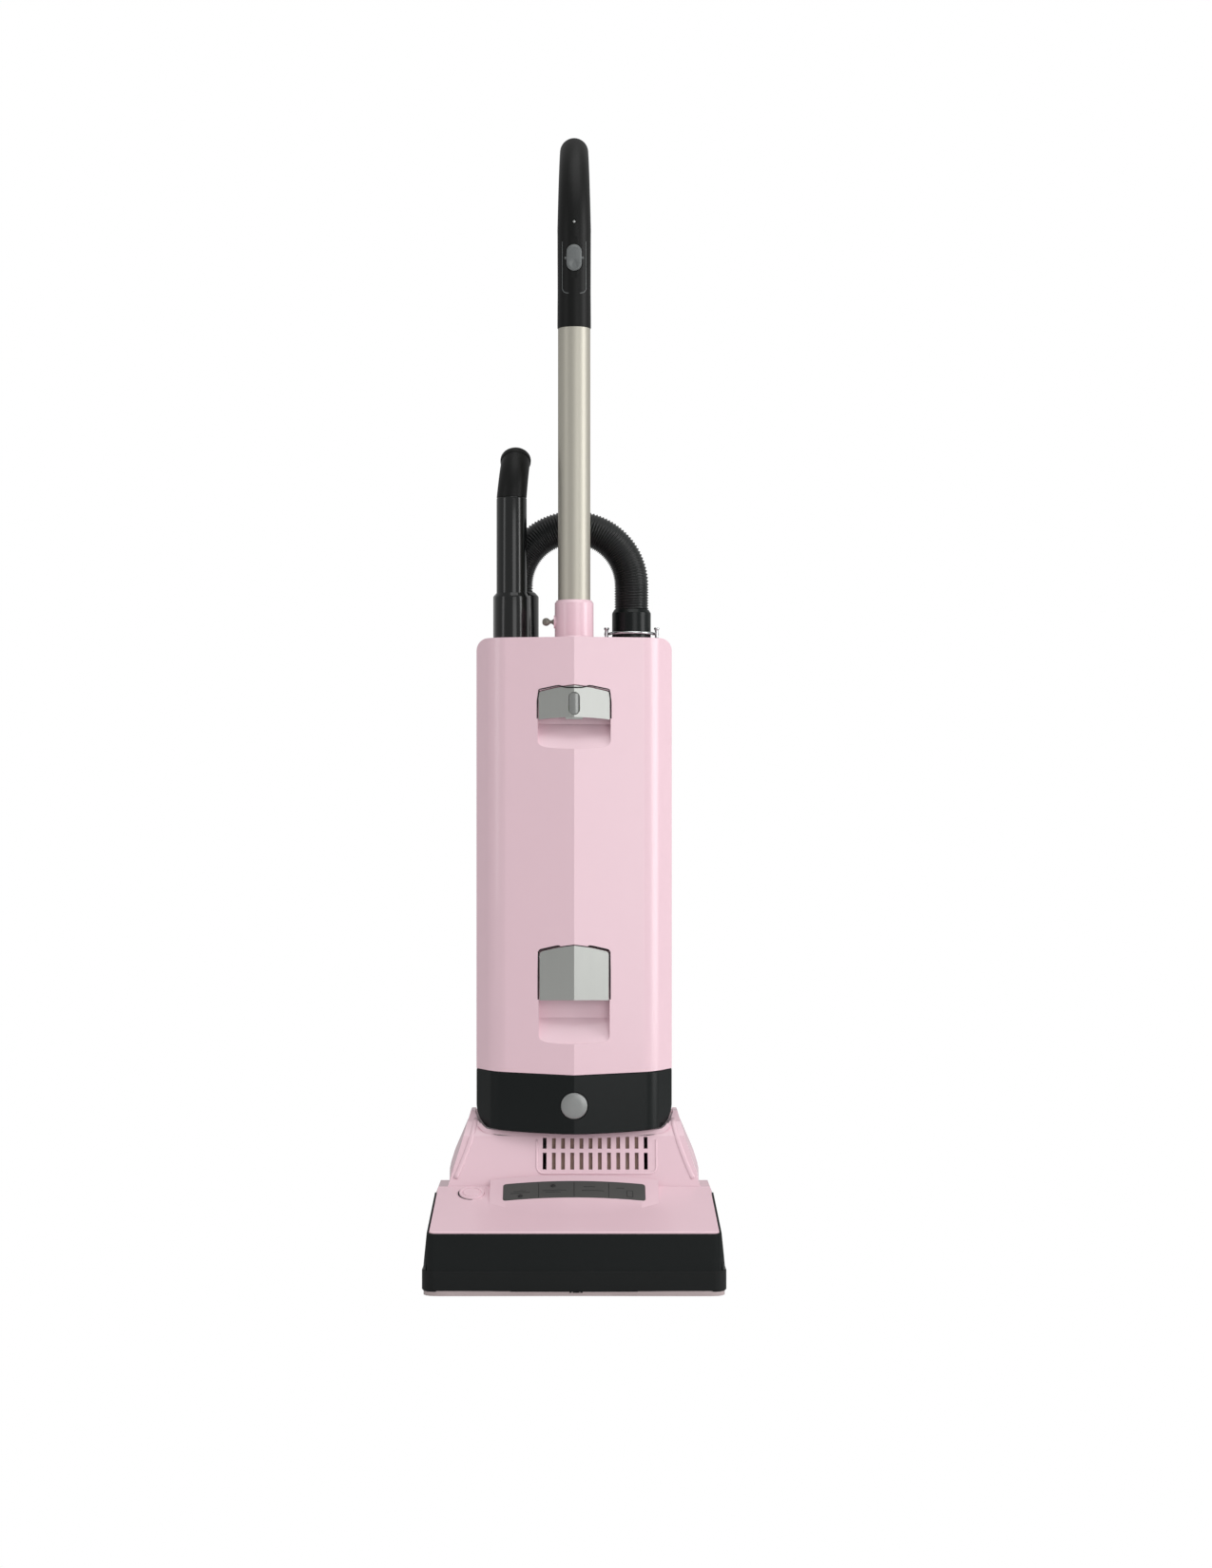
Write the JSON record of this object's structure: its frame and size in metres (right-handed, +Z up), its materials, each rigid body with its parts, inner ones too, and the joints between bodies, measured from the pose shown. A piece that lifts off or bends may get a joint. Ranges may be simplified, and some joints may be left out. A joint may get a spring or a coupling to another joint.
{
  "type": "upright vacuum cleaner",
  "caption": "Upright vacuum cleaner with a wide brush head, a tall casing with a hinged front door, a stowed suction wand on a ribbed hose and a curved handle.",
  "frame": {"origin": "centre of the footprint on the floor, under the middle of the overall box", "axes": "+Z up, -Y is the front that the brush head points to, +X is the viewer's right from the front"},
  "size_m": [0.31, 0.3245, 1.2345],
  "materials": {
    "pink_shell": "glossy moulded shell",
    "black_shell": "glossy black moulding",
    "black_grip": "satin grip",
    "hose_black": "ribbed hose",
    "dark_moulding": "dull inner moulding",
    "panel_grey": "indicator panel",
    "latch_silver": "silver painted moulding",
    "rocker_grey": "switch rocker",
    "sole_grey": "pale sole plate",
    "rubber_black": "soft rubber",
    "steel_bright": "turned steel",
    "zinc_screw": "plated screw",
    "tube_satin": "anodised tube",
    "motor_can": "motor casing",
    "winding_copper": "wound rotor",
    "fan_alloy": "pressed fan",
    "filter_white": "pleated filter",
    "bag_paper": "filter bag",
    "collar_card": "stiff collar",
    "bristle_black": "nylon bristle",
    "flag_green": "indicator flag",
    "lens_clear": "clear window"
  },
  "bodies": {
    "head": {"head_base": "black_shell", "sole_plate": "sole_grey", "bumper_strip": "rubber_black", "head_cover": "pink_shell", "indicator_panel": "panel_grey", "hump_cover": "pink_shell", "head_screws": "zinc_screw", "brush_bearings": "steel_bright", "drive_belt": "rubber_black", "brush_motor": "motor_can", "head_duct": "dark_moulding", "head_button_spring": "steel_bright", "axles": "steel_bright", "hinge_pins": "steel_bright"},
    "brush": {"brush_core": "dark_moulding", "brush_bristles": "bristle_black", "brush_pulley": "dark_moulding"},
    "motor_shaft": {"brush_motor_shaft": "winding_copper"},
    "left_wheel": {"wheel_left": "dark_moulding", "tyre_left": "rubber_black"},
    "right_wheel": {"wheel_right": "dark_moulding", "tyre_right": "rubber_black"},
    "roller": {"front_roller": "dark_moulding"},
    "pedal": {"foot_pedal": "black_shell"},
    "release_button": {"head_button": "pink_shell"},
    "upper": {"chassis": "pink_shell", "neck_yoke": "dark_moulding", "exhaust_filter": "filter_white", "motor_housing": "dark_moulding", "motor_frame": "motor_can", "motor_bearings": "steel_bright", "motor_filter": "filter_white", "dust_bag": "bag_paper", "bag_collar": "collar_card", "inlet_port": "black_shell", "door_seal": "rubber_black", "tube_socket": "pink_shell", "handle_tube": "tube_satin", "handle_grip": "black_grip", "cord_gland": "rubber_black", "lower_cable_hook": "black_shell", "hose_cuff": "black_shell", "hose": "hose_black"},
    "cover": {"exhaust_cover": "black_shell", "button_spring": "steel_bright"},
    "cover_button": {"exhaust_button": "latch_silver"},
    "fan": {"motor_armature": "winding_copper", "fan_impeller": "fan_alloy"},
    "door": {"front_door": "pink_shell", "latch_pins": "steel_bright"},
    "door_latch": {"upper_latch": "latch_silver", "indicator_lens": "lens_clear"},
    "flag": {"indicator_flag": "flag_green"},
    "filter_latch": {"lower_latch": "latch_silver"},
    "clamp_screw": {"thumb_screw": "rocker_grey"},
    "rocker": {"switch_rocker": "rocker_grey"},
    "cable_hook": {"upper_cable_hook": "black_shell"},
    "hose_clip": {"wire_clip": "steel_bright"},
    "wand": {"wand_tube": "black_shell", "wand_grip": "black_grip"}
  },
  "joints": [
    {"name": "recline", "type": "hinge", "parent": "head", "child": "upper", "pos_m": [0, 0.0695, 0.1], "axis": [-1, 0, 0], "range_deg": [0, 80]},
    {"name": "brush_spin", "type": "hinge", "parent": "head", "child": "brush", "pos_m": [0, -0.118, 0.031], "axis": [1, 0, 0], "continuous": true},
    {"name": "brush_motor_spin", "type": "hinge", "parent": "head", "child": "motor_shaft", "pos_m": [0, -0.028, 0.06], "axis": [1, 0, 0], "continuous": true},
    {"name": "left_wheel_spin", "type": "hinge", "parent": "head", "child": "left_wheel", "pos_m": [-0.122, 0.122, 0.038], "axis": [1, 0, 0], "continuous": true},
    {"name": "right_wheel_spin", "type": "hinge", "parent": "head", "child": "right_wheel", "pos_m": [0.122, 0.122, 0.038], "axis": [1, 0, 0], "continuous": true},
    {"name": "roller_spin", "type": "hinge", "parent": "head", "child": "roller", "pos_m": [0, -0.064, 0.009], "axis": [1, 0, 0], "continuous": true},
    {"name": "pedal_press", "type": "hinge", "parent": "head", "child": "pedal", "pos_m": [0.09, 0.1425, 0.048], "axis": [-1, 0, 0], "range_deg": [0, 12], "stiffness_Nm_per_rad": 0.3, "springref_deg": -5.73},
    {"name": "release_button_press", "type": "slide", "parent": "head", "child": "release_button", "axis": [0, 0, -1], "range_m": [0, 0.004], "stiffness_N_per_m": 600, "springref_m": -0.001, "deforming": ["head_button_spring"]},
    {"name": "cover_slide", "type": "slide", "parent": "upper", "child": "cover", "axis": [0, -1, 0], "range_m": [0, 0.06]},
    {"name": "cover_button_press", "type": "slide", "parent": "cover", "child": "cover_button", "axis": [0, 1, 0], "range_m": [0, 0.004], "stiffness_N_per_m": 600, "deforming": ["button_spring"]},
    {"name": "fan_spin", "type": "hinge", "parent": "upper", "child": "fan", "pos_m": [0.012, 0.058, 0.2], "axis": [0, 0, 1], "continuous": true},
    {"name": "door_open", "type": "hinge", "parent": "upper", "child": "door", "pos_m": [0, -0.0525, 0.2166], "axis": [1, 0, 0], "range_deg": [0, 25]},
    {"name": "door_latch_lift", "type": "hinge", "parent": "door", "child": "door_latch", "pos_m": [0, -0.0425, 0.614], "axis": [-1, 0, 0], "range_deg": [0, 15], "stiffness_Nm_per_rad": 0.3, "springref_deg": -5.73},
    {"name": "flag_rise", "type": "slide", "parent": "door_latch", "child": "flag", "axis": [0, 0, 1], "range_m": [0, 0.012]},
    {"name": "filter_latch_lift", "type": "hinge", "parent": "door", "child": "filter_latch", "pos_m": [0, -0.0425, 0.34], "axis": [-1, 0, 0], "range_deg": [0, 15], "stiffness_Nm_per_rad": 0.3, "springref_deg": -5.73},
    {"name": "clamp_screw_turn", "type": "hinge", "parent": "upper", "child": "clamp_screw", "pos_m": [-0.03, 0.034, 0.699], "axis": [1, 0, 0], "continuous": true},
    {"name": "rocker_tilt", "type": "hinge", "parent": "upper", "child": "rocker", "pos_m": [0, 0.0193, 1.09], "axis": [1, 0, 0], "range_deg": [-6, 6]},
    {"name": "cable_hook_swivel", "type": "hinge", "parent": "upper", "child": "cable_hook", "pos_m": [0, 0.0593, 1.076], "axis": [0, 1, 0], "range_deg": [0, 180]},
    {"name": "hose_clip_swing", "type": "hinge", "parent": "upper", "child": "hose_clip", "pos_m": [0.063, 0.084, 0.6895], "axis": [-1, 0, 0], "range_deg": [0, 20]},
    {"name": "wand_slide", "type": "slide", "parent": "upper", "child": "wand", "axis": [0, 0, 1], "range_m": [0, 0.12], "deforming": ["hose"]}
  ],
  "couplings": [
    {"joint": "brush_motor_spin", "follows": "brush_spin", "ratio": 2.4286}
  ]
}
